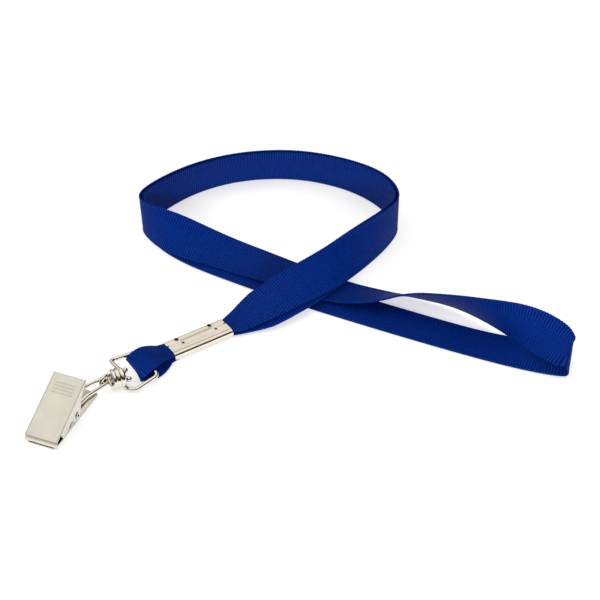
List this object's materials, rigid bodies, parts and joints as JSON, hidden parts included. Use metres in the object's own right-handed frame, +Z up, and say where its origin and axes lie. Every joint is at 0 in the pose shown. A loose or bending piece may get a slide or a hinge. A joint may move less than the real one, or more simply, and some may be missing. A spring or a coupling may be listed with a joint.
{
  "type": "lanyard badge holder",
  "caption": "Flat woven neck lanyard gathered by a metal crimp, with a wire swivel and a spring clip for a badge, lying on a table.",
  "frame": {"origin": "middle of the crimp sleeve's flat underside, on the surface the lanyard lies on", "axes": "+Z up. +X towards the neck end of the strap, +Y towards the strap's loop"},
  "size_m": [0.2003, 0.1732, 0.0186],
  "materials": {
    "webbing": "ribbed royal blue polyester, low sheen",
    "polished_nickel": "polished nickel plate, slightly warm",
    "satin_nickel": "satin nickel plate on pressed steel",
    "spring_steel": "plain drawn spring wire"
  },
  "bodies": {
    "strap": {"strap_upper_leg": "webbing", "strap_lower_leg": "webbing", "strap_ring_loop": "webbing", "crimp_sleeve": "polished_nickel"},
    "ring": {"swivel_ring": "polished_nickel"},
    "pin": {"swivel_pin": "polished_nickel"},
    "bail": {"clip_bail": "polished_nickel"},
    "clip": {"clip_lever": "satin_nickel", "clip_pivot_pin": "polished_nickel", "clip_spring": "spring_steel"},
    "cover": {"clip_cover": "satin_nickel"}
  },
  "joints": [
    {"name": "ring_swing", "type": "hinge", "parent": "strap", "child": "ring", "pos_m": [-0.0174, -0.01698, 0.0043], "axis": [-0.5861, 0.7642, 0.2693], "range_deg": [0, 35]},
    {"name": "swivel_spin", "type": "hinge", "parent": "ring", "child": "pin", "pos_m": [-0.0284, -0.0252, 0.0044], "axis": [-0.8613, -0.4973, 0.1045], "continuous": true},
    {"name": "bail_tilt", "type": "hinge", "parent": "pin", "child": "bail", "pos_m": [-0.03236, -0.02749, 0.00488], "axis": [-0.7547, 0.6561, 0], "range_deg": [-60, 60]},
    {"name": "clip_swing", "type": "hinge", "parent": "bail", "child": "clip", "pos_m": [-0.0465, -0.0427, 0.0036], "axis": [-0.9239, 0.3827, 0], "range_deg": [-6, 15]},
    {"name": "jaw_open", "type": "hinge", "parent": "clip", "child": "cover", "pos_m": [-0.0465, -0.0427, 0.0036], "axis": [-0.9239, 0.3827, 0], "range_deg": [0, 18], "stiffness_Nm_per_rad": 0.02, "springref_deg": -28.65}
  ]
}
